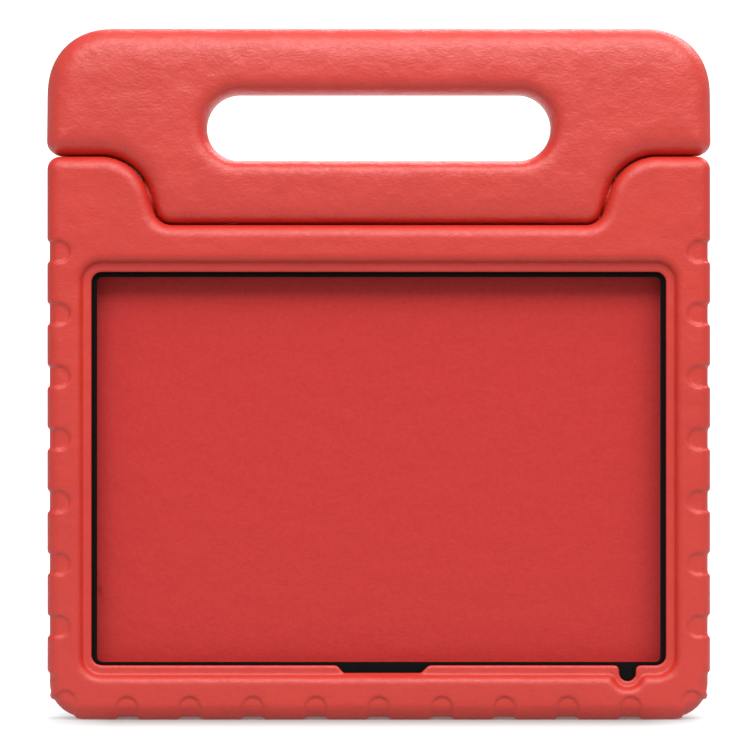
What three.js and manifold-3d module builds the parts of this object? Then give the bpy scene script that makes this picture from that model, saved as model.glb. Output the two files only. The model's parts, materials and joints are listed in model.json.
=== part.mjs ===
// A foam bumper case for a 10-inch class tablet, with a carrying handle that swings back to become a stand.
// Millimetres, +Z up, +X to the right as seen from the front, front face towards -Y.
// The origin is at the middle of the case's underside. The case stands upright on its bottom edge.
import * as THREE from "three";
import { mergeVertices } from "three/addons/utils/BufferGeometryUtils.js";
import Module from "manifold-3d";

const wasm = await Module();
wasm.setup();

// ---- Driving dimensions ----
const TABLET = { width: 250.6, height: 174.1, depth: 7.5 }; // what the case holds, on its long side
const TABLET_PLAY = 0.8; // how much wider and taller the pocket is than the tablet
const POCKET_CENTRE_Z = 106.5;
const POCKET_CORNER = 8;

const BODY = { halfWidth: 141, front: -13, back: 11, corner: 16, edge: 5 };
const EAR = { top: 239.4, corner: 5.5, shoulderX: 118.5, shoulderRadius: 21 };
const SADDLE = { floor: 210.3, halfWidth: 88, filletRadius: 8 }; // the dip between the ears
const SEAM = 0.7; // gap between the handle and the body

const LIP = { cover: 3.3, strip: 3.4, slope: 2.2, top: -9.8, under: -7.4, corner: 4.3 };
const LINER = { width: 262, height: 186, thickness: 1.2, showSide: 2.1, showBottom: 1.6, corner: 7 };
const POCKET = { front: -5.6, back: 2.3 };
const FIT = 0.3; // gap left between pieces that touch

const SCALLOP = { radius: 4.4, reach: 10, depth: 1, sidePitch: 26.5, sideFirst: 39.9, bottomPitch: 26.7 };
const CORNER_SCALLOP_INSET = 4.2; // how far in from the side and from the bottom a corner scallop starts
const LOW_SCALLOP = { z: 15.6, reach: 4.6 }; // a shorter one on each side, just above the corner
const SIDE_SCALLOPS = 7;
const BOTTOM_SCALLOPS_EACH_WAY = 5;

const HANDLE = { halfWidth: 141.5, top: 293.8, halfDepth: 14, corner: 29, lowerCorner: 6 };
const HANDLE_EDGE = 5.5;
const HANDLE_CROWN = 12; // the rounding along the handle's top, in the side view
const HAND_SLOT = { halfLength: 73.5, centreZ: 252, radius: 14.2 };

const HINGE_Y = 3;
const BACK_REACH = HANDLE.halfDepth - HINGE_Y; // from the hinge to the handle's back face
const HINGE_Z = SADDLE.floor + SEAM + BACK_REACH;
const HEEL_RADIUS = 12.5; // the handle's heel turns in a channel in the body, which closes the seam to light
const FOLD_LIMIT = THREE.MathUtils.degToRad(120); // how far the handle swings back

// Behind the ears the handle reaches down to them, so no light shows through the seam there either.
const APRON = {
  inner: 86,
  outer: 134,
  back: HINGE_Y + 8,
  low: HINGE_Z + 5,
  high: EAR.top + SEAM + 4,
};

// Hinge hardware. Each pair is a distance from the middle plane, inner end then outer end.
const BOLT = { radius: 2.5, span: [73, 122.8], headRadius: 4.9, headSpan: [122.8, 126] };
const BOLT_KEY = { radius: 2, depth: 2 };
const INSERT = { radius: 4.2, span: [74, 86] };
const HUB = { radius: 7, span: [70, 90.7] };
const FRICTION_WASHER = { radius: 7, span: [91, 92.4] };
const SOCKET = {
  noseRadius: 6.6,
  nose: [92.7, 101],
  sleeveRadius: 4.6,
  sleeve: [101, 121],
  anchor: [114, 117],
};
const ANCHOR_PLATE = { front: -11, back: 5.5, low: -16, high: 11, holeRadius: 2.6 }; // from the hinge
const SPRING_WASHER = { radius: 4.8, span: [121.3, 122.5] };
const CAP = { radius: 5.2, span: [129, 140], dome: 0.6 };
const PIN_CLEARANCE = 0.3; // on the radius
const ACCESS_RADIUS = 5.5;

// The stiffening frame inside the handle, round the hand slot.
const CORE = {
  front: 0.5,
  back: 5.5,
  beamHalf: 5,
  postInner: 78,
  postOuter: 88,
  topLow: 275.5,
  topHigh: 283.5,
};

// A U-shaped notch in the lip near the lower right corner, and the recess round it.
const ROUND_NOTCH = { x: 105.7, depth: 6.3, radius: 3.6, recessRadius: 5.8 };
// A wider notch at the bottom of the lip: its floor and its mouth, each from left to right.
const WIDE_NOTCH = { depth: 2.8, floor: [-15, 18], mouth: [-18.2, 21.9] };

const PORTS = {
  charging: { side: 1, z: 106.4, length: 13, depth: 7 },
  speakerLow: { side: 1, z: 53.4, length: 14, depth: 3.4 },
  speakerHigh: { side: 1, z: 159.4, length: 14, depth: 3.4 },
  buttons: { side: -1, z: 159.4, length: 18, depth: 6 },
  audio: { side: -1, z: 53.4, length: 9, depth: 9 },
};
const BACK_FIELD = { halfWidth: 106, halfHeight: 72, corner: 14, depth: 1, centreZ: 104 };

const ROUND = 20; // sides of a small round piece
const ARC_STEPS = 3; // pairs of flats in each arc of an outline
const PAST = 6; // how far a cutter runs past what it cuts

// ---- Materials ----
const foam = new THREE.MeshStandardMaterial({ color: 0xd9443f, roughness: 0.55, metalness: 0 });
const liner = new THREE.MeshStandardMaterial({ color: 0x141414, roughness: 0.5, metalness: 0 });
const redPlastic = new THREE.MeshStandardMaterial({ color: 0xc93430, roughness: 0.4, metalness: 0 });
const corePlastic = new THREE.MeshStandardMaterial({ color: 0xb8b8b4, roughness: 0.5, metalness: 0 });
const socketPlastic = new THREE.MeshStandardMaterial({ color: 0x2a2a2c, roughness: 0.45, metalness: 0 });
const steel = new THREE.MeshStandardMaterial({ color: 0xa8abae, roughness: 0.35, metalness: 1 });
const brass = new THREE.MeshStandardMaterial({ color: 0xc9a24a, roughness: 0.35, metalness: 1 });
const washerNylon = new THREE.MeshStandardMaterial({ color: 0xe6e3da, roughness: 0.5, metalness: 0 });

// ---- Solids ----
// A geometry as a manifold solid, with its faces turned outwards.
function solid(geometry) {
  const bare = new THREE.BufferGeometry().setAttribute("position", geometry.getAttribute("position"));
  if (geometry.index) bare.setIndex(geometry.index);
  const merged = mergeVertices(bare, 1e-4);
  const index = [];
  for (let i = 0; i < merged.index.count; i += 3) {
    const [a, b, c] = [0, 1, 2].map((k) => merged.index.getX(i + k));
    if (a !== b && b !== c && c !== a) index.push(a, b, c);
  }
  const build = () =>
    new wasm.Manifold(
      new wasm.Mesh({
        numProp: 3,
        vertProperties: new Float32Array(merged.attributes.position.array),
        triVerts: new Uint32Array(index),
      }),
    );
  const made = build();
  if (made.volume() > 0) return made;
  index.reverse();
  return build();
}

function geometryOf(manifold) {
  const made = manifold.getMesh();
  const geometry = new THREE.BufferGeometry();
  geometry.setAttribute("position", new THREE.BufferAttribute(new Float32Array(made.vertProperties), 3));
  geometry.setIndex(new THREE.BufferAttribute(new Uint32Array(made.triVerts), 1));
  geometry.computeVertexNormals();
  return geometry;
}

function mesh(name, manifold, material) {
  const made = new THREE.Mesh(geometryOf(manifold), material);
  made.name = name;
  return made;
}

const cut = (from, ...tools) => tools.reduce((left, tool) => left.subtract(tool), from);
const join = (...parts) => parts.reduce((whole, part) => whole.add(part));

// A front-view shape (x across, z up) made solid from front to back, with its edges rounded by `edge`.
function slab(shape, front, back, edge = 0, edgeSteps = 2, arcSteps = ARC_STEPS) {
  const geometry = new THREE.ExtrudeGeometry(shape, {
    depth: back - front - 2 * edge,
    curveSegments: arcSteps,
    bevelEnabled: edge > 0,
    bevelThickness: edge,
    bevelSize: edge,
    bevelOffset: -edge,
    bevelSegments: edgeSteps,
  });
  geometry.rotateX(Math.PI / 2);
  geometry.translate(0, back - edge, 0);
  return solid(geometry);
}

// A side-view polygon ([y, z] points) made solid from x0 to x1.
function beam(points, x0, x1) {
  const shape = new THREE.Shape(points.map(([y, z]) => new THREE.Vector2(y, z)));
  const geometry = new THREE.ExtrudeGeometry(shape, { depth: x1 - x0, bevelEnabled: false });
  const axes = new THREE.Matrix4().makeBasis(
    new THREE.Vector3(0, 1, 0),
    new THREE.Vector3(0, 0, 1),
    new THREE.Vector3(1, 0, 0),
  );
  geometry.applyMatrix4(axes);
  geometry.translate(x0, 0, 0);
  return solid(geometry);
}

const block = (x0, x1, y0, y1, z0, z1) =>
  beam([[y0, z0], [y1, z0], [y1, z1], [y0, z1]], x0, x1);

// A block on one side of the middle plane, given how far its inner and outer ends are from it.
function sideBlock(side, [inner, outer], y0, y1, z0, z1) {
  return side > 0 ? block(inner, outer, y0, y1, z0, z1) : block(-outer, -inner, y0, y1, z0, z1);
}

// Turns a profile of [radius, distance] points about the hinge line. The distance is measured from the
// middle plane, to the right for side 1 and to the left for side -1.
function turned(profile, side, sides = ROUND) {
  const points = profile.map(([radius, along]) => new THREE.Vector2(radius, along));
  const geometry = new THREE.LatheGeometry(points, sides);
  geometry.rotateZ(side > 0 ? -Math.PI / 2 : Math.PI / 2);
  geometry.translate(0, HINGE_Y, HINGE_Z);
  return solid(geometry);
}

const drum = (radius, [inner, outer], side) =>
  turned([[0, inner], [radius, inner], [radius, outer], [0, outer]], side);

const ring = (outside, bore, [inner, outer], side) =>
  turned([[bore, inner], [outside, inner], [outside, outer], [bore, outer], [bore, inner]], side);

// ---- Outlines in the front view ----
function roundedRectangle(halfWidth, halfHeight, corner, centreZ, centreX = 0) {
  const shape = new THREE.Shape();
  const corners = [
    [1, -1, -Math.PI / 2],
    [1, 1, 0],
    [-1, 1, Math.PI / 2],
    [-1, -1, Math.PI],
  ];
  for (const [sx, sz, start] of corners) {
    const x = centreX + sx * (halfWidth - corner);
    const z = centreZ + sz * (halfHeight - corner);
    shape.absarc(x, z, corner, start, start + Math.PI / 2, false);
  }
  return shape;
}

// The line where the handle meets an ear: over the ear's round shoulder, down a straight slope, and through
// a fillet into the saddle. The arcs' radii take the gap up, and the slope is their common tangent.
function seamArcs(gap) {
  const { shoulderX, shoulderRadius, top } = EAR;
  const { halfWidth, floor, filletRadius } = SADDLE;
  const shoulder = { x: shoulderX, z: top - shoulderRadius, radius: shoulderRadius + gap };
  const fillet = { x: halfWidth, z: floor + filletRadius, radius: filletRadius - gap };
  const across = shoulder.x - fillet.x;
  const down = shoulder.z - fillet.z;
  const lean = Math.asin((shoulder.radius + fillet.radius) / Math.hypot(across, down));
  return { shoulder, fillet, turn: lean + Math.atan2(down, across) };
}

// Adds the saddle to a shape whose pen is on the right ear's flat top: down into it and up to the left ear.
function addSaddle(shape, gap) {
  const { shoulder, fillet, turn } = seamArcs(gap);
  const half = Math.PI / 2;
  shape.absarc(shoulder.x, shoulder.z, shoulder.radius, half, half + turn, false);
  shape.absarc(fillet.x, fillet.z, fillet.radius, turn - half, -half, true);
  shape.absarc(-fillet.x, fillet.z, fillet.radius, -half, -half - turn, true);
  shape.absarc(-shoulder.x, shoulder.z, shoulder.radius, half - turn, half, false);
}

function bodyOutline(inset) {
  const shape = new THREE.Shape();
  const side = BODY.halfWidth - inset;
  const top = EAR.top - inset;
  const foot = BODY.corner - inset;
  const half = Math.PI / 2;
  shape.absarc(side - foot, inset + foot, foot, -half, 0, false);
  shape.absarc(side - EAR.corner, top - EAR.corner, EAR.corner, 0, half, false);
  addSaddle(shape, -inset);
  shape.absarc(-side + EAR.corner, top - EAR.corner, EAR.corner, half, Math.PI, false);
  shape.absarc(-side + foot, inset + foot, foot, Math.PI, Math.PI + half, false);
  return shape;
}

// The handle's outline, anticlockwise from its upper right corner, with the hand slot as a hole.
function handleOutline() {
  const shape = new THREE.Shape();
  const { halfWidth, top, corner, lowerCorner } = HANDLE;
  const half = Math.PI / 2;
  const { shoulder, fillet, turn } = seamArcs(SEAM);
  const low = EAR.top + SEAM + lowerCorner;
  shape.absarc(halfWidth - corner, top - corner, corner, 0, half, false);
  shape.absarc(-halfWidth + corner, top - corner, corner, half, Math.PI, false);
  shape.absarc(-halfWidth + lowerCorner, low, lowerCorner, Math.PI, Math.PI + half, false);
  shape.absarc(-shoulder.x, shoulder.z, shoulder.radius, half, half - turn, true);
  shape.absarc(-fillet.x, fillet.z, fillet.radius, -half - turn, -half, false);
  shape.absarc(fillet.x, fillet.z, fillet.radius, -half, turn - half, false);
  shape.absarc(shoulder.x, shoulder.z, shoulder.radius, half + turn, half, true);
  shape.absarc(halfWidth - lowerCorner, low, lowerCorner, -half, 0, false);
  const slot = new THREE.Path();
  const reach = HAND_SLOT.halfLength - HAND_SLOT.radius;
  slot.absarc(reach, HAND_SLOT.centreZ, HAND_SLOT.radius, -half, half, false);
  slot.absarc(-reach, HAND_SLOT.centreZ, HAND_SLOT.radius, half, half + Math.PI, false);
  shape.holes.push(slot);
  return shape;
}

// The handle's side view, rounded over at the top.
function handleProfile() {
  const { halfDepth, top } = HANDLE;
  const crown = HANDLE_CROWN;
  const side = new THREE.Shape();
  side.moveTo(-halfDepth, SADDLE.floor - PAST);
  side.lineTo(halfDepth, SADDLE.floor - PAST);
  side.absarc(halfDepth - crown, top - crown, crown, 0, Math.PI / 2, false);
  side.absarc(-halfDepth + crown, top - crown, crown, Math.PI / 2, Math.PI, false);
  return side.getPoints(4).map((p) => [p.x, p.y]);
}

// ---- Body shell ----
// One finger-grip scallop: a strip with a round end that comes in from the edge at (x, z) along `angle`.
function scallopStrip(x, z, angle, reach = SCALLOP.reach) {
  const shape = new THREE.Shape();
  const half = Math.PI / 2;
  shape.moveTo(-PAST, -SCALLOP.radius);
  shape.absarc(reach - SCALLOP.radius, 0, SCALLOP.radius, -half, half, false);
  shape.lineTo(-PAST, SCALLOP.radius);
  const turn = new THREE.Matrix4().makeRotationY(-angle).setPosition(x, 0, z);
  const strip = slab(shape, BODY.front - PAST, BODY.back + PAST);
  return strip.transform(turn.elements);
}

function scallopStrips() {
  const strips = [];
  for (let k = 0; k < SIDE_SCALLOPS; k++) {
    const z = SCALLOP.sideFirst + k * SCALLOP.sidePitch;
    strips.push(scallopStrip(-BODY.halfWidth, z, 0));
    strips.push(scallopStrip(BODY.halfWidth, z, Math.PI));
  }
  const cornerX = BODY.halfWidth - CORNER_SCALLOP_INSET;
  strips.push(scallopStrip(-cornerX, CORNER_SCALLOP_INSET, Math.PI / 4));
  strips.push(scallopStrip(cornerX, CORNER_SCALLOP_INSET, (3 * Math.PI) / 4));
  strips.push(scallopStrip(-BODY.halfWidth, LOW_SCALLOP.z, 0, LOW_SCALLOP.reach));
  strips.push(scallopStrip(BODY.halfWidth, LOW_SCALLOP.z, Math.PI, LOW_SCALLOP.reach));
  for (let k = -BOTTOM_SCALLOPS_EACH_WAY; k <= BOTTOM_SCALLOPS_EACH_WAY; k++) {
    strips.push(scallopStrip(k * SCALLOP.bottomPitch, 0, Math.PI / 2));
  }
  return strips;
}

function bodyBlank(inset) {
  const edge = BODY.edge - inset;
  return slab(bodyOutline(inset), BODY.front + inset, BODY.back - inset, edge);
}

// What the handle sweeps through as it swings back: a channel round the hinge for its heel, and everything
// behind that down to where its back face comes to rest.
function swingClearance() {
  const stop = BACK_REACH + FIT;
  const far = 20;
  const restingHeight = (back) => (back * Math.cos(FOLD_LIMIT) - stop) / Math.sin(FOLD_LIMIT);
  const outline = [
    [0, 2 * far],
    [far, 2 * far],
    [far, restingHeight(far)],
    [stop * Math.cos(FOLD_LIMIT), -stop * Math.sin(FOLD_LIMIT)],
    [0, 0],
  ].map(([back, up]) => [HINGE_Y + back, HINGE_Z + up]);
  const behind = beam(outline, -EAR.shoulderX, EAR.shoulderX);
  return join(behind, drum(HEEL_RADIUS + FIT, [-EAR.shoulderX, EAR.shoulderX], 1));
}

// The ear's shoulder turned about the hinge, as a round knob that runs out to `outer`. The handle's swing
// leaves it on the ear, and grown by the seam's gap it is the room the handle keeps round it.
function earKnob(side, gap = 0, outer = EAR.shoulderX + PAST) {
  const { shoulder } = seamArcs(gap);
  const steps = 8;
  const rise = shoulder.z - HINGE_Z;
  const inner = Math.asin(-rise / shoulder.radius);
  const profile = [[0, outer], [rise + shoulder.radius, outer]];
  for (let i = 0; i <= steps; i++) {
    const angle = Math.PI / 2 - (i / steps) * (Math.PI / 2 - inner);
    const radius = i === steps ? 0 : rise + shoulder.radius * Math.sin(angle);
    profile.push([radius, shoulder.x - shoulder.radius * Math.cos(angle)]);
  }
  return turned(profile, side, 2 * ROUND);
}

function lipOpening() {
  const halfWidth = TABLET.width / 2 - LIP.cover;
  const halfHeight = TABLET.height / 2 - LIP.cover;
  const bottom = POCKET_CENTRE_Z - halfHeight;
  const window = slab(
    roundedRectangle(halfWidth, halfHeight, LIP.corner, POCKET_CENTRE_Z),
    BODY.front - PAST,
    POCKET.front + FIT,
  );
  const { depth, floor, mouth } = WIDE_NOTCH;
  const notch = new THREE.Shape([
    new THREE.Vector2(mouth[0], bottom + 1),
    new THREE.Vector2(floor[0], bottom - depth),
    new THREE.Vector2(floor[1], bottom - depth),
    new THREE.Vector2(mouth[1], bottom + 1),
  ]);
  return join(window, slab(notch, BODY.front - PAST, POCKET.front), roundNotch(ROUND_NOTCH.radius, 1));
}

// The U-shaped notch, with a mouth that flares.
function roundNotch(radius, flare) {
  const bottom = POCKET_CENTRE_Z - TABLET.height / 2 + LIP.cover;
  const shape = new THREE.Shape();
  const z = bottom - ROUND_NOTCH.depth + ROUND_NOTCH.radius;
  shape.absarc(ROUND_NOTCH.x, z, radius, Math.PI, 2 * Math.PI, false);
  shape.lineTo(ROUND_NOTCH.x + radius + flare, bottom + flare);
  shape.lineTo(ROUND_NOTCH.x - radius - flare, bottom + flare);
  return slab(shape, BODY.front - PAST, POCKET.front);
}

// The sloped step from the body's face down to the lip, with its bulge round the notch.
function lipStep() {
  const rise = LIP.top - BODY.front;
  const step = (shape) => {
    const geometry = new THREE.ExtrudeGeometry(shape, {
      depth: PAST,
      curveSegments: ARC_STEPS,
      bevelThickness: rise,
      bevelSize: LIP.slope,
      bevelSegments: 1,
    });
    geometry.rotateX(Math.PI / 2);
    geometry.translate(0, BODY.front, 0);
    return solid(geometry);
  };
  const halfWidth = TABLET.width / 2 - LIP.cover + LIP.strip;
  const halfHeight = TABLET.height / 2 - LIP.cover + LIP.strip;
  const bottom = POCKET_CENTRE_Z - TABLET.height / 2 + LIP.cover;
  const bulge = new THREE.Shape();
  const z = bottom - ROUND_NOTCH.depth + ROUND_NOTCH.radius;
  bulge.absarc(ROUND_NOTCH.x, z, ROUND_NOTCH.recessRadius, 0, 2 * Math.PI, false);
  const corner = LIP.corner + LIP.strip;
  return join(step(roundedRectangle(halfWidth, halfHeight, corner, POCKET_CENTRE_Z)), step(bulge));
}

function pocket() {
  const halfWidth = (TABLET.width + TABLET_PLAY) / 2;
  const halfHeight = (TABLET.height + TABLET_PLAY) / 2;
  const room = roundedRectangle(halfWidth, halfHeight, POCKET_CORNER, POCKET_CENTRE_Z);
  return slab(room, LIP.under, POCKET.back);
}

function linerGroove() {
  const groove = roundedRectangle(
    LINER.width / 2 + FIT,
    LINER.height / 2 + FIT,
    LINER.corner + FIT,
    POCKET_CENTRE_Z,
  );
  return slab(groove, LIP.under, POCKET.front);
}

function portHole({ side, z, length, depth }) {
  const middle = (POCKET.front + POCKET.back) / 2;
  const half = Math.PI / 2;
  const shape = new THREE.Shape();
  const reach = (length - depth) / 2;
  shape.absarc(middle, z + reach, depth / 2, 0, Math.PI, false);
  shape.absarc(middle, z - reach, depth / 2, 2 * half, 4 * half, false);
  const points = shape.getPoints(4).map((p) => [p.x, p.y]);
  const inner = (TABLET.width + TABLET_PLAY) / 2 - PAST;
  const outer = BODY.halfWidth + PAST;
  return side > 0 ? beam(points, inner, outer) : beam(points, -outer, -inner);
}

function bodyShell() {
  const blank = join(cut(bodyBlank(0), ...scallopStrips()), bodyBlank(SCALLOP.depth));
  const clearance = cut(swingClearance(), earKnob(1), earKnob(-1));
  const { halfWidth, halfHeight, corner, depth, centreZ } = BACK_FIELD;
  const field = roundedRectangle(halfWidth, halfHeight, corner, centreZ);
  return cut(
    blank,
    clearance,
    lipStep(),
    lipOpening(),
    pocket(),
    linerGroove(),
    slab(field, BODY.back - depth, BODY.back + PAST),
    ...Object.values(PORTS).map(portHole),
    socketSolid(1, FIT),
    socketSolid(-1, FIT),
    drum(ACCESS_RADIUS, [SOCKET.sleeve[1] - FIT, BODY.halfWidth + PAST], 1),
    drum(ACCESS_RADIUS, [SOCKET.sleeve[1] - FIT, BODY.halfWidth + PAST], -1),
  );
}

// ---- Liner ----
function linerFrame() {
  const halfWidth = TABLET.width / 2 - LIP.cover - LINER.showSide;
  const lipHalf = TABLET.height / 2 - LIP.cover;
  const top = POCKET_CENTRE_Z + lipHalf - LINER.showSide;
  const bottom = POCKET_CENTRE_Z - lipHalf + LINER.showBottom;
  const shape = roundedRectangle(LINER.width / 2, LINER.height / 2, LINER.corner, POCKET_CENTRE_Z);
  shape.holes.push(roundedRectangle(halfWidth, (top - bottom) / 2, 2.2, (top + bottom) / 2));
  const front = LIP.under + FIT;
  return slab(shape, front, front + LINER.thickness);
}

// ---- Hinge hardware ----
// The plastic socket moulded into an ear: a nose, a sleeve for the bolt, and an anchor plate. `grow` makes it
// larger all round, without its holes, as the room it takes in the foam.
function socketSolid(side, grow) {
  const [noseIn, noseOut] = SOCKET.nose;
  const [, sleeveOut] = SOCKET.sleeve;
  const [plateIn, plateOut] = SOCKET.anchor;
  const { front, back, low, high } = ANCHOR_PLATE;
  const plate = sideBlock(
    side,
    [plateIn - grow, plateOut + grow],
    HINGE_Y + front - grow,
    HINGE_Y + back + grow,
    HINGE_Z + low - grow,
    HINGE_Z + high + grow,
  );
  return join(
    drum(SOCKET.noseRadius + grow, [noseIn - grow, noseOut + grow], side),
    drum(SOCKET.sleeveRadius + grow, [noseOut - 1, sleeveOut + grow], side),
    plate,
  );
}

function anchorHole(side, y, z) {
  const geometry = new THREE.CylinderGeometry(ANCHOR_PLATE.holeRadius, ANCHOR_PLATE.holeRadius, 2 * PAST, 16);
  geometry.rotateZ(Math.PI / 2);
  geometry.translate((side * (SOCKET.anchor[0] + SOCKET.anchor[1])) / 2, y, z);
  return solid(geometry);
}

function hingeSocket(side) {
  const { front, low, high } = ANCHOR_PLATE;
  const inFront = HINGE_Y + front + 4;
  return cut(
    socketSolid(side, 0),
    drum(BOLT.radius + PIN_CLEARANCE, [SOCKET.nose[0] - PAST, SOCKET.sleeve[1] + PAST], side),
    anchorHole(side, inFront, HINGE_Z + low + 5),
    anchorHole(side, inFront, HINGE_Z + high - 5),
    anchorHole(side, HINGE_Y, HINGE_Z + low + 5),
  );
}

function hingeBolt(side) {
  const key = turned(
    [
      [0, BOLT.headSpan[1] - BOLT_KEY.depth],
      [BOLT_KEY.radius, BOLT.headSpan[1] - BOLT_KEY.depth],
      [BOLT_KEY.radius, BOLT.headSpan[1] + PAST],
      [0, BOLT.headSpan[1] + PAST],
    ],
    side,
    6,
  );
  const [inner, outer] = BOLT.span;
  const shank = drum(BOLT.radius, [inner, outer + 1], side);
  return cut(join(shank, drum(BOLT.headRadius, BOLT.headSpan, side)), key);
}

function springWasher(side) {
  const bore = BOLT.radius + PIN_CLEARANCE;
  const [inner, outer] = SPRING_WASHER.span;
  const cone = 0.5; // how far the washer's rim stands back from its bore
  return turned(
    [
      [bore, inner + cone],
      [SPRING_WASHER.radius, inner],
      [SPRING_WASHER.radius, outer - cone],
      [bore, outer],
      [bore, inner + cone],
    ],
    side,
  );
}

function hingeCap(side) {
  const [inner, outer] = CAP.span;
  const { radius, dome } = CAP;
  return turned(
    [
      [0, inner],
      [radius - 0.8, inner],
      [radius, inner + 1.2],
      [radius, outer - 0.5],
      [radius - 0.6, outer],
      [radius * 0.5, outer + dome * 0.75],
      [0, outer + dome],
    ],
    side,
  );
}

// ---- Handle ----
// The stiff frame inside the grip, with a hub at each end for the bolts. `grow` makes it larger all round.
function coreSolid(grow) {
  const { front, back, beamHalf, postInner, postOuter, topLow, topHigh } = CORE;
  const y = [front - grow, back + grow];
  const [hubIn, hubOut] = HUB.span;
  const post = (side) =>
    sideBlock(side, [postInner - grow, postOuter + grow], ...y, HINGE_Z - beamHalf - grow, topHigh + grow);
  return join(
    block(-postInner - 1, postInner + 1, ...y, HINGE_Z - beamHalf - grow, HINGE_Z + beamHalf + grow),
    block(-postInner - 1, postInner + 1, ...y, topLow - grow, topHigh + grow),
    post(1),
    post(-1),
    drum(HUB.radius + grow, [hubIn - grow, hubOut + grow], 1),
    drum(HUB.radius + grow, [hubIn - grow, hubOut + grow], -1),
  );
}

function handleCore() {
  const bore = (side) => drum(INSERT.radius + FIT, [BOLT.span[0] - FIT, HUB.span[1] + PAST], side);
  return cut(coreSolid(0), bore(1), bore(-1));
}

function handleGrip() {
  const front = slab(handleOutline(), -HANDLE.halfDepth, HANDLE.halfDepth, HANDLE_EDGE, 3, 5);
  const blank = front.intersect(beam(handleProfile(), -HANDLE.halfWidth - 1, HANDLE.halfWidth + 1));
  const reach = SADDLE.halfWidth + SADDLE.filletRadius + PAST;
  const low = HINGE_Z - HEEL_RADIUS - PAST;
  const heel = drum(HEEL_RADIUS, [-reach, reach], 1);
  const belowHeel = cut(block(-reach, reach, HINGE_Y, HANDLE.halfDepth + PAST, low, HINGE_Z), heel);
  const rear = [HANDLE.halfDepth, HANDLE.halfDepth + PAST];
  const behindHeel = block(-reach - 1, reach + 1, ...rear, low, HINGE_Z + 20);
  const apron = (side) =>
    sideBlock(side, [APRON.inner, APRON.outer], HINGE_Y, APRON.back, APRON.low, APRON.high);
  const mouth = (side) => drum(HUB.radius + FIT + 0.1, [HUB.span[1] - FIT, SOCKET.nose[1] + PAST], side);
  return cut(
    join(cut(blank, belowHeel), cut(heel, behindHeel), apron(1), apron(-1)),
    earKnob(1, SEAM, HANDLE.halfWidth + PAST),
    earKnob(-1, SEAM, HANDLE.halfWidth + PAST),
    coreSolid(FIT),
    mouth(1),
    mouth(-1),
  );
}

// ---- The case ----
const tabletCase = new THREE.Group();

const caseBody = new THREE.Group();
caseBody.add(mesh("body_shell", bodyShell(), foam));
caseBody.add(mesh("liner_frame", linerFrame(), liner));

const handle = new THREE.Group();
handle.add(mesh("handle_grip", handleGrip(), foam));
handle.add(mesh("handle_core", handleCore(), corePlastic));

for (const [word, side] of [["left", -1], ["right", 1]]) {
  const bore = BOLT.radius + PIN_CLEARANCE;
  const frictionWasher = ring(FRICTION_WASHER.radius, bore, FRICTION_WASHER.span, side);
  caseBody.add(mesh(`hinge_socket_${word}`, hingeSocket(side), socketPlastic));
  caseBody.add(mesh(`hinge_cap_${word}`, hingeCap(side), redPlastic));
  caseBody.add(mesh(`friction_washer_${word}`, frictionWasher, washerNylon));
  handle.add(mesh(`hinge_bolt_${word}`, hingeBolt(side), steel));
  handle.add(mesh(`spring_washer_${word}`, springWasher(side), steel));
  handle.add(mesh(`threaded_insert_${word}`, ring(INSERT.radius, bore, INSERT.span, side), brass));
}

tabletCase.add(caseBody, handle);

export default tabletCase;
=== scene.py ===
"""A foam tablet case with a folding carrying handle, dressed for a studio photograph.

The two foam mouldings are built here as smooth closed meshes from distance fields, on the same
dimensions as the CAD. Everything else is the CAD with better materials.
"""

import json
import math

import bpy
import numpy as np
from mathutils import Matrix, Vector


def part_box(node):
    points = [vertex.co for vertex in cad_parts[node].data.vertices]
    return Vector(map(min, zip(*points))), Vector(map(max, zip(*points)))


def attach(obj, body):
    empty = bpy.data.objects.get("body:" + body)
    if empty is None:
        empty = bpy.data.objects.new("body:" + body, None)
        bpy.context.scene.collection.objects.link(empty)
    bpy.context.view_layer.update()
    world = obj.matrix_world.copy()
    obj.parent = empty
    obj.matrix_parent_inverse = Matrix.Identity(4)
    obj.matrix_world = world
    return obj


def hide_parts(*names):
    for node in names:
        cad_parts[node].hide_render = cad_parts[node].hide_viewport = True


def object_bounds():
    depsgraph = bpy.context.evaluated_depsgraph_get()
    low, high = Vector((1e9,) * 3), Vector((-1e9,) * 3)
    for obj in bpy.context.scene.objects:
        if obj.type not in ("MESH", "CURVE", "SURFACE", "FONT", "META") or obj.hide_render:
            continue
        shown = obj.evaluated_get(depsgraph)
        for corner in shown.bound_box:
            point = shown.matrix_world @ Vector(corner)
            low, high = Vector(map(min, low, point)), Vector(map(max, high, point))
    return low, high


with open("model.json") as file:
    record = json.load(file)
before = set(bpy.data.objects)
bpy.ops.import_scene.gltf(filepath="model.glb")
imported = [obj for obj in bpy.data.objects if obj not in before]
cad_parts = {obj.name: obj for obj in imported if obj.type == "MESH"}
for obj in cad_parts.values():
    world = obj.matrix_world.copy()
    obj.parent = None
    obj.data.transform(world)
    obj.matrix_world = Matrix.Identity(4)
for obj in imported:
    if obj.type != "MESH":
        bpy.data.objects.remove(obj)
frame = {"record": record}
CAD_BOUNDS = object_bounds()
MM = 0.001  # the foam is worked out in millimetres

# ---- Dimensions shared with the CAD, in millimetres ----
BODY_LOW, BODY_HIGH = (np.array(corner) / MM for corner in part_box("body_shell"))
GRIP_LOW, GRIP_HIGH = (np.array(corner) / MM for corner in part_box("handle_grip"))
LINER_LOW, LINER_HIGH = (np.array(corner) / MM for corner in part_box("liner_frame"))
JOINT = next(j for j in frame["record"]["behaviour"]["joints"] if j["name"] == "handle_fold")
HINGE_Y, HINGE_Z = (v / MM for v in JOINT["pos_m"][1:])
FOLD = math.radians(JOINT["range_deg"][1])

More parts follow.
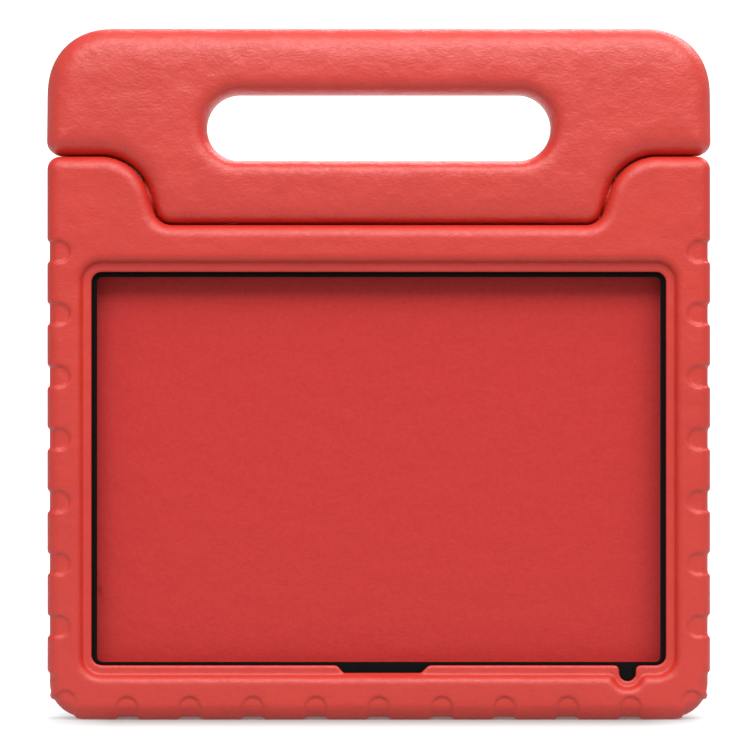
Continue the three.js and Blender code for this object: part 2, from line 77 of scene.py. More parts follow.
BODY_HALF = BODY_HIGH[0]
BODY_FRONT, BODY_BACK = BODY_LOW[1], BODY_HIGH[1]
EAR_TOP = BODY_HIGH[2]
BODY_CORNER, EAR_CORNER = 16.0, 5.5
SHOULDER_X, SHOULDER_R = 118.5, 21.0
SADDLE_X, SADDLE_R, SADDLE_FLOOR = 88.0, 8.0, 210.3
SEAM = 0.7
EDGE_DEPTH = 6.0  # how far back from its faces the body starts to round off
EDGE_WIDTH, EDGE_WIDTH_AT_FOOT = 5.8, 8.5  # how far in from its outline, which is wider near the floor

POCKET_Z = 106.5
TABLET_HALF = (125.3, 87.05)
PLAY = 0.4
POCKET_CORNER = 8
LIP_COVER, LIP_STRIP, LIP_SLOPE = 3.3, 3.4, 1.9
LIP_TOP, LIP_UNDER = -9.4, -7.4
STEP_CORNER, WINDOW_CORNER, GROOVE_CORNER = 7.7, 4.3, 7.3
POCKET_FRONT, POCKET_BACK = -5.6, 2.3
GAP = 0.3

SCALLOP_R, SCALLOP_REACH, SCALLOP_DEPTH = 4.4, 10.0, 1.0
SIDE_PITCH, SIDE_FIRST, SIDE_COUNT = 26.5, 39.9, 7
CORNER_SCALLOP = (132.8, 8.2)
LOW_SCALLOP_Z, LOW_SCALLOP_REACH, LOW_SCALLOP_R = 15.6, 4.6, 4.7
BOTTOM_PITCH, BOTTOM_EACH_WAY = 26.7, 5

GRIP_HALF, GRIP_TOP, GRIP_DEPTH = GRIP_HIGH[0], GRIP_HIGH[2] + 0.6, GRIP_HIGH[1]
GRIP_CORNER, GRIP_LOWER = 29.0, 6.0
SLOT_HALF, SLOT_Z, SLOT_R = 73.5, 252.0, 14.2
GRIP_EDGE, GRIP_EDGE_RISE = (12, 10), (6, 3)  # its rounding across and in depth, and what the top adds
SLOT_EDGE = (9.0, 11.0)
CROWN, CROWN_Z = 0.0018, 256  # how fast both faces fall away above and below this height
BACK_REACH = GRIP_DEPTH - HINGE_Y
HEEL_R, HEEL_REACH = 12.5, 105
HEEL_END_X, HEEL_END_R = 94.0, 9.5  # outside this the heel is thinner, under the ear's front edge
APRON_MIDDLE, APRON_HALF = (110, 4, 13), (24, 4, 8)  # side, depth and height, from the hinge
BACK_SEAM = 0.3  # the seam behind the ears, which lets no light through

# The hinge's rooms: radius about its line, then the inner and the outer end from the middle plane.
SOCKET_NOSE, SOCKET_BARREL, CAP_WELL = (6.9, 92.4, 101.3), (4.9, 100, 121.3), (5.5, 120.7, 150)
HUB, HUB_MOUTH = (7.3, 69.7, 91.0), (7.4, 90.4, 107)
ANCHOR_MIDDLE, ANCHOR_HALF = (115.5, -2.75, -2.5), (1.8, 8.55, 13.8)  # side, depth, height from the hinge

# The stiff frame's room in the handle.
CORE_HALF_DEPTH, CORE_LOW_HALF, CORE_REACH = 2.8, 5.3, 79.3
CORE_TOP, CORE_SIDE = (275.2, 283.8), (77.7, 88.3)

BACK_FIELD = (106, 72, 14, 104)  # the shallow field in the back: half width, half height, corner, middle
PORTS = (  # side, height, length, depth
    (1, 106.4, 13, 7),
    (1, 53.4, 14, 3.4),
    (1, 159.4, 14, 3.4),
    (-1, 159.4, 18, 6),
    (-1, 53.4, 9, 9),
)
PORT_INNER = 119.7

VOXEL = 0.8
BODY_TRIANGLES, GRIP_TRIANGLES = 190000, 130000


# ---- Distance fields ----
def smax(a, b, k):
    """The larger of two distances, with the crease rounded over a width of k."""
    h = np.maximum(k - np.abs(a - b), 0.0) / k
    return np.maximum(a, b) + h * h * k * 0.25


def smin(a, b, k):
    return -smax(-a, -b, k)


def rounded_rect(u, v, half_u, half_v, corner, cv):
    qu = np.abs(u) - (half_u - corner)
    qv = np.abs(v - cv) - (half_v - corner)
    outside = np.hypot(np.maximum(qu, 0), np.maximum(qv, 0))
    return outside + np.minimum(np.maximum(qu, qv), 0) - corner


def stadium(u, v, half_u, r, cv, cu=0.0):
    return np.hypot(np.maximum(np.abs(u - cu) - (half_u - r), 0), v - cv) - r


def arc(cx, cz, r, start, end, steps=24):
    turn = np.linspace(start, end, steps)
    return np.stack([cx + r * np.cos(turn), cz + r * np.sin(turn)], 1)


def polygon_distance(points, u, v):
    """The signed distance from each (u, v) to a closed outline."""
    best = np.full(u.shape, 1e9, np.float32)
    inside = np.zeros(u.shape, bool)
    for (ax, az), (bx, bz) in zip(points, np.roll(points, -1, 0)):
        ex, ez = bx - ax, bz - az
        length2 = ex * ex + ez * ez
        if length2 < 1e-12:
            continue
        t = np.clip(((u - ax) * ex + (v - az) * ez) / length2, 0, 1)
        best = np.minimum(best, (u - ax - t * ex) ** 2 + (v - az - t * ez) ** 2)
        if ez != 0:
            crosses = ((az > v) != (bz > v)) & (u < ex * (v - az) / ez + ax)
            inside ^= crosses
    return np.sqrt(best) * np.where(inside, -1, 1).astype(np.float32)


def seam(gap):
    """The line from an ear's round shoulder down a slope into the saddle, on the right side."""
    shoulder = (SHOULDER_X, EAR_TOP - SHOULDER_R, SHOULDER_R + gap)
    fillet = (SADDLE_X, SADDLE_FLOOR + SADDLE_R, SADDLE_R - gap)
    across, down = shoulder[0] - fillet[0], shoulder[1] - fillet[1]
    reach = math.hypot(across, down)
    turn = math.asin((shoulder[2] + fillet[2]) / reach) + math.atan2(down, across)
    half = math.pi / 2
    over = arc(*shoulder, half, half + turn)
    into = arc(*fillet, turn - half, -half)
    return np.concatenate([over, into])


def mirrored(points):
    return (points * [-1, 1])[::-1]


def body_outline():
    half = math.pi / 2
    foot = arc(BODY_HALF - BODY_CORNER, BODY_CORNER, BODY_CORNER, -half, 0)
    ear = arc(BODY_HALF - EAR_CORNER, EAR_TOP - EAR_CORNER, EAR_CORNER, 0, half)
    right = np.concatenate([foot, ear, seam(0.0)])
    return np.concatenate([right, mirrored(right)])


def grip_outline():
    """The handle's outline, whose upper corners turn more slowly than a circle does."""
    half = math.pi / 2
    turn = np.linspace(0, half, 40)
    power = 2 / 2.25
    top = np.stack(
        [
            GRIP_HALF - GRIP_CORNER + GRIP_CORNER * np.cos(turn) ** power,
            GRIP_TOP - GRIP_CORNER + GRIP_CORNER * np.sin(turn) ** power,
        ],
        1,
    )
    low = EAR_TOP + SEAM + GRIP_LOWER
    corner = arc(GRIP_HALF - GRIP_LOWER, low, GRIP_LOWER, -half, 0)
    right = np.concatenate([seam(SEAM)[::-1], corner, top])
    return np.concatenate([right, mirrored(right)])


def soft_slab(outline, y, half_depth, across, deep):
    """A slab whose faces fall away towards its outline: `across` in the front view, `deep` in depth."""
    u = np.maximum(outline + across, 0) / across
    v = np.maximum(np.abs(y) - half_depth + deep, 0) / deep
    return (np.hypot(u, v) - 1) * np.minimum(across, deep)


def box_distance(places, middle, half):
    """How far outside a box each place is, along the axis where it is furthest out."""
    distance = -1e9
    for place, centre, reach in zip(places, middle, half):
        distance = np.maximum(distance, np.abs(place - centre) - reach)
    return distance


def drum(r, side, radius, inner, outer):
    """A round room about the hinge's line, between two distances from the middle plane."""
    return np.maximum(r - radius, np.maximum(inner - side, side - outer))


def smooth_step(value, low, high):
    t = np.clip((value - low) / (high - low), 0, 1)
    return t * t * (3 - 2 * t)


def mesh_from_field(name, field, low):
    """Surface nets: one vertex for each cell the surface crosses, moved onto the surface."""
    inside = field < 0
    nx, ny, nz = (n - 1 for n in field.shape)
    corners = [(i, j, k) for i in (0, 1) for j in (0, 1) for k in (0, 1)]
    count = np.zeros((nx, ny, nz), np.uint8)
    for i, j, k in corners:
        count += inside[i : i + nx, j : j + ny, k : k + nz]
    active = (count > 0) & (count < 8)
    cells = np.argwhere(active)
    number = np.full(active.shape, -1, np.int32)
    number[active] = np.arange(len(cells))
    total = np.zeros((len(cells), 3))
    hits = np.zeros(len(cells))
    value = {c: field[tuple((cells + c).T)] for c in corners}
    for c in corners:
        for axis in range(3):
            if c[axis]:
                continue
            d = tuple(v + (1 if a == axis else 0) for a, v in enumerate(c))
            a, b = value[c], value[d]
            crossed = (a < 0) != (b < 0)
            t = np.where(crossed, a / np.where(crossed, a - b, 1), 0)
            point = np.array(c, float)[None, :].repeat(len(cells), 0)
            point[:, axis] += t
            total += point * crossed[:, None]
            hits += crossed
    local = total / hits[:, None]
    local = settle(local, value)
    points = (cells + local) * VOXEL + low

    quads = []
    for axis in range(3):
        one = [1 if a == axis else 0 for a in range(3)]
        n = [s - o for s, o in zip(field.shape, one)]
        a = inside[: n[0], : n[1], : n[2]]
        b = inside[one[0] :, one[1] :, one[2] :]
        u, v = (axis + 1) % 3, (axis + 2) % 3
        for sign, edges in ((1, a & ~b), (-1, ~a & b)):
            e = np.argwhere(edges)
            ring = []
            for du, dv in ((-1, -1), (0, -1), (0, 0), (-1, 0)):
                cell = e.copy()
                cell[:, u] += du
                cell[:, v] += dv
                ring.append(number[tuple(cell.T)])
            quad = np.stack(ring, 1)
            quads.append(quad if sign > 0 else quad[:, ::-1])
    quads = np.concatenate(quads)
    mesh = bpy.data.meshes.new(name)
    mesh.vertices.add(len(points))
    mesh.vertices.foreach_set("co", (points * MM).astype(np.float32).ravel())
    mesh.loops.add(quads.size)
    mesh.loops.foreach_set("vertex_index", quads.ravel().astype(np.int32))
    mesh.polygons.add(len(quads))
    mesh.polygons.foreach_set("loop_start", np.arange(0, quads.size, 4, dtype=np.int32))
    mesh.update(calc_edges=True)
    mesh.validate()
    return mesh


def settle(local, value):
    """Moves each vertex onto the surface inside its own cell."""
    for _ in range(3):
        x, y, z = local.T
        f = np.zeros(len(local))
        grad = np.zeros((len(local), 3))
        for (i, j, k), v in value.items():
            wx, wy, wz = (x if i else 1 - x), (y if j else 1 - y), (z if k else 1 - z)
            f += v * wx * wy * wz
            grad[:, 0] += v * (1 if i else -1) * wy * wz
            grad[:, 1] += v * (1 if j else -1) * wx * wz
            grad[:, 2] += v * (1 if k else -1) * wx * wy
        step = f / np.maximum((grad**2).sum(1), 0.05)
        local = np.clip(local - step[:, None] * grad, 0.02, 0.98)
    return local


def grid(low, high):
    pad = 2 * VOXEL
    axes = [np.arange(a - pad, b + pad + VOXEL, VOXEL, dtype=np.float32) for a, b in zip(low, high)]
    x, y, z = axes
    return np.array([a[0] for a in axes]), x[:, None, None], y[None, :, None], z[None, None, :]


def thinned(name, mesh, triangles):
    """The mesh as an object, with the flat parts' triangles merged."""
    obj = bpy.data.objects.new(name, mesh)
    bpy.context.collection.objects.link(obj)
    total = 2 * len(mesh.polygons)
    if total > triangles:
        modifier = obj.modifiers.new("thin", "DECIMATE")
        modifier.ratio = triangles / total
        thin = bpy.data.meshes.new_from_object(obj.evaluated_get(bpy.context.evaluated_depsgraph_get()))
        obj.modifiers.clear()
        obj.data = thin
        thin.name = name
    obj.data.shade_smooth()
    return obj


# ---- Body ----
ROUND_NOTCH_X, ROUND_NOTCH_DEPTH, ROUND_NOTCH_R = 105.7, 6.3, 3.5
ROUND_NOTCH_BULGE = 5.8  # the lip's strip passes round the notch at this radius
WIDE_NOTCH = np.array([[-18.7, 1.5], [-15, -2.8], [18, -2.8], [22.4, 1.5]])  # from the lip's lower edge


def scallops(x, z):
    """The finger-grip scallops in the front view, as one distance."""
    d = np.full(np.broadcast(x, z).shape, 1e9, np.float32)
    side = BODY_HALF - np.abs(x)
    for k in range(SIDE_COUNT):
        along = np.maximum(side - (SCALLOP_REACH - SCALLOP_R), 0)
        d = np.minimum(d, np.hypot(along, z - (SIDE_FIRST + k * SIDE_PITCH)) - SCALLOP_R)
    out_x, out_z = np.abs(x) - CORNER_SCALLOP[0], z - CORNER_SCALLOP[1]
    across = (out_x + out_z) * math.sqrt(0.5)
    inward = np.maximum(-(out_x - out_z) * math.sqrt(0.5), 0)
    d = np.minimum(d, np.hypot(inward, across) - SCALLOP_R)
    along = np.maximum(side - (LOW_SCALLOP_REACH - LOW_SCALLOP_R), 0)
    d = np.minimum(d, np.hypot(along, z - LOW_SCALLOP_Z) - LOW_SCALLOP_R)
    for k in range(-BOTTOM_EACH_WAY, BOTTOM_EACH_WAY + 1):
        along = np.maximum(z - (SCALLOP_REACH - SCALLOP_R), 0)
        d = np.minimum(d, np.hypot(x - k * BOTTOM_PITCH, along) - SCALLOP_R)
    return d


def hinge_room(x, y, z):
    """The room that the plastic sockets and caps take in each ear."""
    side, back, up = np.abs(x), y - HINGE_Y, z - HINGE_Z
    r = np.hypot(back, up)
    room = np.minimum(drum(r, side, *SOCKET_NOSE), drum(r, side, *SOCKET_BARREL))
    room = np.minimum(room, box_distance((side, back, up), ANCHOR_MIDDLE, ANCHOR_HALF))
    return np.minimum(room, drum(r, side, *CAP_WELL))


def ear_knob(x, r):
    """The ear's shoulder turned about the hinge."""
    rise = SHOULDER_R - (EAR_TOP - HINGE_Z)
    return np.hypot(np.minimum(np.abs(x) - SHOULDER_X, 0), r + rise) - SHOULDER_R


def swing_room(x, y, z):
    """The room that the handle's heel and back face sweep through."""
    stop = BACK_REACH + GAP
    far = 30.0
    back, up = y - HINGE_Y, z - HINGE_Z
    resting = (far * math.cos(FOLD) - stop) / math.sin(FOLD)
    contact = [stop * math.cos(FOLD), -stop * math.sin(FOLD)]
    outline = np.array([[0, 2 * far], [far, 2 * far], [far, resting], contact, [0, 0]])
    behind = polygon_distance(outline, back[0] + 0 * up[0], up[0] + 0 * back[0])[None]
    r = np.hypot(back, up)
    channel = np.maximum(r - HEEL_R, np.abs(x) - HEEL_END_X)
    swept = np.minimum(behind, np.minimum(channel, r - HEEL_END_R) - GAP)
    return smax(np.maximum(swept, np.abs(x) - SHOULDER_X), -ear_knob(x, r), 1.0)


def body_field(x, y, z):
    xz, zz = x[:, 0, :] + 0 * z[:, 0, :], z[:, 0, :] + 0 * x[:, 0, :]
    flat = lambda d2: d2[:, None, :]
    outline = flat(polygon_distance(body_outline(), xz, zz))
    middle, half = (BODY_FRONT + BODY_BACK) / 2, (BODY_BACK - BODY_FRONT) / 2
    across = flat(EDGE_WIDTH_AT_FOOT - (EDGE_WIDTH_AT_FOOT - EDGE_WIDTH) * smooth_step(zz, 3, 12))
    outer = soft_slab(outline, y - middle, half, across, EDGE_DEPTH)
    core = outer + SCALLOP_DEPTH * np.minimum(EDGE_DEPTH / across, 1)
    dents = flat(scallops(xz, zz))
    body = smax(outer, -smax(dents, -core, 0.5), 0.8)

    body = smax(body, -swing_room(x, y, z), 0.8)

    lip_half = (TABLET_HALF[0] - LIP_COVER, TABLET_HALF[1] - LIP_COVER)
    lip_bottom = POCKET_Z - lip_half[1]
    notch_z = lip_bottom - ROUND_NOTCH_DEPTH + ROUND_NOTCH_R
    strip_half = [half + LIP_STRIP for half in lip_half]
    step = rounded_rect(xz, zz, *strip_half, STEP_CORNER, POCKET_Z)
    bulge = np.hypot(xz - ROUND_NOTCH_X, zz - notch_z) - ROUND_NOTCH_BULGE
    step = flat(smin(step, bulge, 2.5))
    slope = LIP_SLOPE / (LIP_TOP - BODY_FRONT)
    sloped = (step - (LIP_TOP - y) * slope) / math.hypot(1, slope)
    body = smax(body, -np.maximum(sloped, y - LIP_TOP), 2.2)

    window = rounded_rect(xz, zz, lip_half[0], lip_half[1] - 0.2, WINDOW_CORNER, POCKET_Z + 0.2)
    notch = np.maximum(np.abs(xz - ROUND_NOTCH_X) - ROUND_NOTCH_R, zz - lip_bottom - 1)
    notch = np.maximum(notch, notch_z - zz)
    round_notch = np.minimum(notch, np.hypot(xz - ROUND_NOTCH_X, zz - notch_z) - ROUND_NOTCH_R)
    window = smin(window, round_notch, 2.2)
    window = smin(window, polygon_distance(WIDE_NOTCH + [0, lip_bottom], xz, zz), 0.6)
    body = smax(body, -np.maximum(flat(window), y - POCKET_FRONT - GAP), 0.8)

    pocket_half = [half + PLAY for half in TABLET_HALF]
    pocket = rounded_rect(xz, zz, *pocket_half, POCKET_CORNER, POCKET_Z)
    middle, half = (LIP_UNDER + POCKET_BACK) / 2, (POCKET_BACK - LIP_UNDER) / 2
    body = np.maximum(body, -smax(flat(pocket), np.abs(y - middle) - half, 1.5))
    liner_half = (LINER_HIGH[0] + GAP, (LINER_HIGH[2] - LINER_LOW[2]) / 2 + GAP)
    groove = rounded_rect(xz, zz, *liner_half, GROOVE_CORNER, POCKET_Z)
    middle, half = (LIP_UNDER + POCKET_FRONT) / 2, (POCKET_FRONT - LIP_UNDER) / 2
    body = np.maximum(body, -np.maximum(flat(groove), np.abs(y - middle) - half))

    field = flat(rounded_rect(xz, zz, *BACK_FIELD))
    body = smax(body, -smax(field, BODY_BACK - 1 - y, 0.6), 0.8)

    middle = (POCKET_FRONT + POCKET_BACK) / 2
    for side, height, length, depth in PORTS:
        hole = stadium(z, y, length / 2, depth / 2, middle, height)
        body = smax(body, -np.maximum(hole, PORT_INNER - side * x), 1.2)
    return np.maximum(body, -hinge_room(x, y, z))


# ---- Handle ----
def core_room(x, y, z):
    """The room that the stiff frame takes inside the grip."""
    side = np.abs(x)
    in_depth = np.abs(y - HINGE_Y) - CORE_HALF_DEPTH
    low_bar = (HINGE_Z - CORE_LOW_HALF, HINGE_Z + CORE_LOW_HALF)

    def bar(low_x, high_x, low_z, high_z):
        across = np.maximum(low_x - side, side - high_x)
        return np.maximum(np.maximum(across, np.maximum(low_z - z, z - high_z)), in_depth)

    r = np.hypot(y - HINGE_Y, z - HINGE_Z)
    room = np.minimum(bar(-1, CORE_REACH, *low_bar), bar(-1, CORE_REACH, *CORE_TOP))
    room = np.minimum(room, bar(*CORE_SIDE, low_bar[0], CORE_TOP[1]))
    return np.minimum(np.minimum(room, drum(r, side, *HUB)), drum(r, side, *HUB_MOUTH))


def grip_field(x, y, z):
    xz, zz = x[:, 0, :] + 0 * z[:, 0, :], z[:, 0, :] + 0 * x[:, 0, :]
    flat = lambda d2: d2[:, None, :]
    outline = polygon_distance(grip_outline(), xz, zz)
    rise = smooth_step(zz, 236, 272)
    edge = [flat(least + more * rise) for least, more in zip(GRIP_EDGE, GRIP_EDGE_RISE)]
    outer = soft_slab(flat(outline), y, GRIP_DEPTH, *edge)
    slot = stadium(xz, zz, SLOT_HALF, SLOT_R, SLOT_Z)
    rim = soft_slab(flat(-slot), y, GRIP_DEPTH, *SLOT_EDGE)
    grip = smax(outer, rim, 4.0)
    crown = np.abs(y) - GRIP_DEPTH + flat(CROWN * (zz - CROWN_Z) ** 2)
    grip = smax(grip, crown, 2.0)

    back, up = y - HINGE_Y, z - HINGE_Z
    r = np.hypot(back, up)
    below = np.minimum(np.minimum(back, -up), r - HEEL_R)
    grip = smax(grip, below, 1.2)
    side = np.abs(x)
    heel = np.maximum(smax(y - GRIP_DEPTH, r - HEEL_R, 2.0), side - HEEL_END_X)
    heel = np.minimum(heel, np.maximum(r - HEEL_END_R, side - HEEL_REACH))
    apron = box_distance((side, back, up), APRON_MIDDLE, APRON_HALF)
    grip = smin(np.minimum(grip, heel), apron, 1.5)
    clearance = SEAM - (SEAM - BACK_SEAM) * smooth_step(y, -6.0, 2.0)
    grip = smax(grip, clearance - ear_knob(x, r), 0.6)
    return np.maximum(grip, -core_room(x, y, z))


def foam_piece(name, make, low, high, triangles):
    origin, x, y, z = grid(low, high)
    field = make(x, y, z).astype(np.float32)
    return thinned(name, mesh_from_field(name, field, origin), triangles)


# ---- Materials ----
class Nodes:
    """A short way to build a node tree."""

    def __init__(self, name):
        self.material = bpy.data.materials.new(name)
        self.material.use_nodes = True
        self.tree = self.material.node_tree
        self.shader = self.tree.nodes["Principled BSDF"]
        coordinates = self.tree.nodes.new("ShaderNodeTexCoord")
        self.place = self.scaled(coordinates.outputs["Object"], 1000.0)  # millimetres

    def link(self, a, b):
        self.tree.links.new(a, b)

    def scaled(self, vector, amount):
        node = self.tree.nodes.new("ShaderNodeVectorMath")
        node.operation = "SCALE"
        self.link(vector, node.inputs[0])
        node.inputs["Scale"].default_value = amount
        return node.outputs[0]

    def noise(self, size, detail=3.0, roughness=0.5, distortion=0.0, stretch=1.0):
        """Noise with features of a size in millimetres, which `stretch` draws out from side to side."""
        squeezed = self.tree.nodes.new("ShaderNodeVectorMath")
        squeezed.operation = "MULTIPLY"
        self.link(self.place, squeezed.inputs[0])
        squeezed.inputs[1].default_value = (1.0 / stretch, 1.0, 1.0)
        node = self.tree.nodes.new("ShaderNodeTexNoise")
        self.link(squeezed.outputs[0], node.inputs["Vector"])
        node.inputs["Scale"].default_value = 1.0 / size
        node.inputs["Detail"].default_value = detail
        node.inputs["Roughness"].default_value = roughness
        node.inputs["Distortion"].default_value = distortion
        return node.outputs["Fac"]

    def cells(self, size):
        node = self.tree.nodes.new("ShaderNodeTexVoronoi")
        node.feature = "SMOOTH_F1"
        self.link(self.place, node.inputs["Vector"])
        node.inputs["Scale"].default_value = 1.0 / size
        return node.outputs["Distance"]

    def ramp(self, value, low, high, out_low, out_high):
        node = self.tree.nodes.new("ShaderNodeMapRange")
        self.link(value, node.inputs["Value"])
        keys = ("From Min", "From Max", "To Min", "To Max")
        for key, number in zip(keys, (low, high, out_low, out_high)):
            node.inputs[key].default_value = number
        return node.outputs["Result"]

    def math(self, operation, a, b):
        node = self.tree.nodes.new("ShaderNodeMath")
        node.operation = operation
        for socket, item in zip(node.inputs, (a, b)):
            if isinstance(item, (int, float)):
                socket.default_value = item
            else:
                self.link(item, socket)
        return node.outputs[0]

    def mix(self, factor, first, second):
        node = self.tree.nodes.new("ShaderNodeMix")
        node.data_type = "RGBA"
        self.link(factor, node.inputs["Factor"])
        for key, colour in (("A", first), ("B", second)):
            socket = next(s for s in node.inputs if s.name == key and s.type == "RGBA")
            if isinstance(colour, tuple):
                socket.default_value = (*colour, 1)
            else:
                self.link(colour, socket)
        return next(s for s in node.outputs if s.type == "RGBA")

    def axes(self):
        split = self.tree.nodes.new("ShaderNodeSeparateXYZ")
        self.link(self.place, split.inputs[0])
        return split.outputs

    def inside_box(self, low, high):
        """1 inside a box given in millimetres, 0 outside."""
        result = 1.0
        for output, a, b in zip(self.axes(), low, high):
            above = self.math("GREATER_THAN", output, a)
            below = self.math("LESS_THAN", output, b)
            result = self.math("MULTIPLY", self.math("MULTIPLY", above, below), result)
        return result

    def bump(self, height, distance, strength=1.0, normal=None):
        node = self.tree.nodes.new("ShaderNodeBump")
        self.link(height, node.inputs["Height"])
        node.inputs["Distance"].default_value = distance
        node.inputs["Strength"].default_value = strength
        if normal is not None:
            self.link(normal, node.inputs["Normal"])
        return node.outputs["Normal"]


PANEL_PAINTED_SHADE = (0.56, 0.006, 0.003)  # painted shade: the recessed panel behind the tablet is coloured a deeper red; it is also given a rougher, less shiny finish
PANEL_SHADE_BOX = ((-126, -5, 18.5), (126, 3, 194.5))


def foam_material(name, base, deep, grain, creases, specular, paint_panel_shade=False):
    """Moulded foam: a satin skin with a fine leather-like grain over soft, shallow unevenness, with painted
    shade on the recessed back panel if asked.
    """
    n = Nodes(name)
    patches = n.noise(26.0, 3.0, 0.55)
    mottle = n.noise(2.4, 3.0, 0.6)
    colour = n.mix(n.ramp(patches, 0.35, 0.68, 0.0, 0.7), base, deep)
    pores = n.cells(0.9)
    speck = n.math("MULTIPLY", n.ramp(mottle, 0.4, 0.7, 0.0, 0.35), n.ramp(pores, 0.2, 0.8, 0.4, 1.0))
    colour = n.mix(speck, colour, tuple(0.86 * c for c in deep))
    rough = n.math("ADD", n.ramp(mottle, 0.3, 0.7, 0.44, 0.54), n.ramp(pores, 0.1, 0.7, -0.03, 0.05))
    if paint_panel_shade:
        # painted shade: inside this box the recessed back panel takes the deeper red, and a rougher finish
        inside = n.inside_box(*PANEL_SHADE_BOX)
        colour = n.mix(inside, colour, PANEL_PAINTED_SHADE)
        rough = n.math("ADD", rough, n.math("MULTIPLY", inside, 0.3))
    n.link(colour, n.shader.inputs["Base Color"])
    n.link(rough, n.shader.inputs["Roughness"])
    soft = n.bump(n.noise(11.0, 2.0, 0.5), 0.0012, creases)
    wrinkle = n.bump(n.noise(1.0, 2.0, 0.5, 0.3, stretch=1.8), 0.0003, grain, soft)
    fine = n.bump(pores, 0.00015, grain, wrinkle)
    n.link(fine, n.shader.inputs["Normal"])
    n.shader.inputs["Specular IOR Level"].default_value = specular
    return n.material


def plastic_material(name, base, roughness, specular=0.5):
    """Moulded plastic with a fine texture; the size is in millimetres."""
    size, texture = 0.5, 0.35
    n = Nodes(name)
    n.shader.inputs["Specular IOR Level"].default_value = specular
    mottle = n.noise(size * 6, 3.0, 0.6)
    colour = n.mix(n.ramp(mottle, 0.3, 0.7, 0.0, 1.0), base, tuple(0.8 * c for c in base))
    rough = n.ramp(n.noise(size * 2), 0.3, 0.7, roughness - 0.06, roughness + 0.06)
    n.link(colour, n.shader.inputs["Base Color"])
    n.link(rough, n.shader.inputs["Roughness"])
    n.link(n.bump(n.noise(size, 2.0), 0.00005, texture), n.shader.inputs["Normal"])
    return n.material


def metal_material(name, base, roughness):
    """Turned metal with faint streaks."""
    n = Nodes(name)
    streaks = n.noise(0.7, 4.0, 0.65, 0.4)
    colour = n.mix(n.ramp(streaks, 0.3, 0.7, 0.0, 1.0), base, tuple(0.7 * c for c in base))
    n.link(colour, n.shader.inputs["Base Color"])
    n.link(n.ramp(streaks, 0.3, 0.7, roughness - 0.08, roughness + 0.1), n.shader.inputs["Roughness"])
    n.link(n.bump(streaks, 0.00003, 0.4), n.shader.inputs["Normal"])
    n.shader.inputs["Metallic"].default_value = 1.0
    return n.material


def assign(obj, material):
    obj.data.materials.clear()
    obj.data.materials.append(material)


def dress(node, material):
    for slot in bpy.data.objects[node].material_slots:
        slot.material = material


body_foam = foam_material(
    "body_foam", (0.64, 0.022, 0.007), (0.59, 0.016, 0.005), grain=0.32, creases=0.5, specular=0.85, paint_panel_shade=True
)
# The handle's base red, a touch lighter than the body's, is painted light.
grip_foam = foam_material(
    "handle_foam", (0.66, 0.024, 0.009), (0.60, 0.018, 0.006), grain=0.5, creases=0.8, specular=1.0
)

body = foam_piece("foam_body", body_field, BODY_LOW, BODY_HIGH, BODY_TRIANGLES)
assign(body, body_foam)
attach(body, "case_body")
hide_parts("body_shell")

grip = foam_piece("foam_grip", grip_field, GRIP_LOW, GRIP_HIGH, GRIP_TRIANGLES)
assign(grip, grip_foam)
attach(grip, "handle")
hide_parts("handle_grip")

dress("liner_frame", plastic_material("liner_black", (0.002, 0.002, 0.002), 0.6, specular=0.1))
dress("handle_core", plastic_material("core_plastic", (0.48, 0.48, 0.46), 0.5))
red_plastic = plastic_material("cap_plastic", (0.55, 0.03, 0.025), 0.42)
black_plastic = plastic_material("socket_plastic", (0.022, 0.022, 0.024), 0.48)
nylon = plastic_material("washer_nylon", (0.76, 0.74, 0.68), 0.5)
steel = metal_material("bolt_steel", (0.46, 0.48, 0.5), 0.32)
brass = metal_material("insert_brass", (0.6, 0.4, 0.12), 0.3)
for side in ("left", "right"):
    dress(f"hinge_cap_{side}", red_plastic)
    dress(f"hinge_socket_{side}", black_plastic)
    dress(f"friction_washer_{side}", nylon)
    dress(f"hinge_bolt_{side}", steel)
    dress(f"spring_washer_{side}", steel)
    dress(f"threaded_insert_{side}", brass)


# ---- Stage ----
PAPER = (0.4, 0.425, 0.425)
NEAR_GLOW, FAR_GLOW = 0.62, 0.45  # how much the paper shines near the case, and more further back
PAINTED_CONTACT_SHADOW = 0.5  # how much less it shines under the case: a painted contact shadow


def paper_material():
    """Pale paper that shines by itself, so that it reads as white round and behind the case, and shines less
    close under the case as a painted contact shadow.
    """
    n = Nodes("studio_paper")
    n.link(n.ramp(n.noise(40.0, 2.0), 0.3, 0.7, 0.72, 0.8), n.shader.inputs["Roughness"])
    n.shader.inputs["Base Color"].default_value = (*PAPER, 1)
    n.shader.inputs["Specular IOR Level"].default_value = 0.1
    n.shader.inputs["Emission Color"].default_value = (1, 1, 1, 1)
    x, depth, up = n.axes()
    off_side, off_depth = n.math("ABSOLUTE", x, 0), n.math("ABSOLUTE", depth, 0)
    floor_glow = n.ramp(depth, -200, -120, 0.0, NEAR_GLOW)
    glow = n.math("ADD", floor_glow, n.ramp(depth, 60, 400, 0.0, FAR_GLOW))
    fade = n.math("MULTIPLY", n.ramp(off_side, 600, 1000, 1.0, 0.4), n.ramp(up, 700, 1200, 1.0, 0.4))
    # painted contact shadow: the paper shines less close under the case
    under = n.ramp(off_depth, 15, 42, PAINTED_CONTACT_SHADOW, 0.0)
    contact = n.math("MULTIPLY", under, n.ramp(off_side, 112, 146, 1.0, 0.0))
    glow = n.math("SUBTRACT", n.math("MULTIPLY", glow, fade), contact)
    n.link(n.math("MAXIMUM", glow, 0), n.shader.inputs["Emission Strength"])
    return n.material


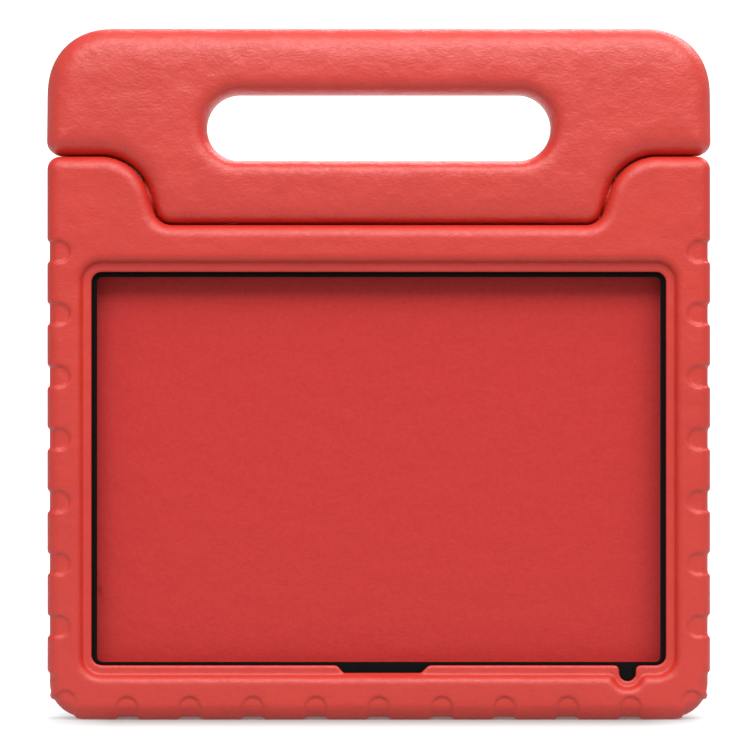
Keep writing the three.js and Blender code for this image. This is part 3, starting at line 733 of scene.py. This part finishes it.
def sweep():
    """A floor that curves up into a backdrop. These sizes are in metres."""
    half_width, front, back, radius, top = 3.4, -2.8, 2.6, 0.9, 3.4
    steps = 16
    profile = [(front, 0.0), (back - radius, 0.0)]
    for i in range(1, steps + 1):
        turn = i / steps * math.pi / 2
        away, rise = radius * math.sin(turn), radius - radius * math.cos(turn)
        profile.append((back - radius + away, rise))
    profile.append((back, top))
    mesh = bpy.data.meshes.new("studio_sweep")
    points = [(x, y, z) for y, z in profile for x in (-half_width, half_width)]
    faces = [(2 * i, 2 * i + 1, 2 * i + 3, 2 * i + 2) for i in range(len(profile) - 1)]
    mesh.from_pydata(points, [], faces)
    mesh.shade_smooth()
    obj = bpy.data.objects.new("studio_sweep", mesh)
    bpy.context.collection.objects.link(obj)
    assign(obj, paper_material())
    obj.visible_diffuse = False  # it throws no light back up at the case


def area_light(name, place, target, size, power):
    light = bpy.data.lights.new(name, "AREA")
    light.shape = "RECTANGLE"
    light.size, light.size_y = size
    light.energy = power
    obj = bpy.data.objects.new(name, light)
    obj.location = place
    obj.rotation_euler = (Vector(target) - Vector(place)).to_track_quat("-Z", "Y").to_euler()
    bpy.context.collection.objects.link(obj)


def camera():
    """Square to the front, a little left of the middle. These sizes are in metres."""
    low, high = (Vector(corner) for corner in CAD_BOUNDS)
    aim_x, aim_z = -0.0016, 0.1465
    front = (low.y + high.y) / 2 - 0.008
    distance = 1.4
    seen = 0.3189  # the height of the picture at the case's front
    data = bpy.data.cameras.new("camera")
    data.sensor_width = 36
    data.lens = 36 * distance / seen
    obj = bpy.data.objects.new("camera", data)
    obj.location = (aim_x, front - distance, aim_z)
    obj.rotation_euler = (math.pi / 2, 0, 0)
    bpy.context.collection.objects.link(obj)
    bpy.context.scene.camera = obj


WORLD_STRENGTH = 0.48

sweep()
camera()
area_light("overhead", (0.1, -0.75, 1.8), (0, 0, 0.17), (1.8, 0.8), 9)
area_light("rim", (0.5, 0.95, 1.25), (0, 0, 0.27), (1.6, 0.5), 17)
area_light("front", (0.2, -1.3, 1.5), (0, 0, 0.2), (2.8, 0.8), 34)

world = bpy.data.worlds.new("studio")
world.use_nodes = True
world.node_tree.nodes["Background"].inputs["Color"].default_value = (1, 1, 1, 1)
world.node_tree.nodes["Background"].inputs["Strength"].default_value = WORLD_STRENGTH
bpy.context.scene.world = world
bpy.context.scene.view_settings.view_transform = "Standard"
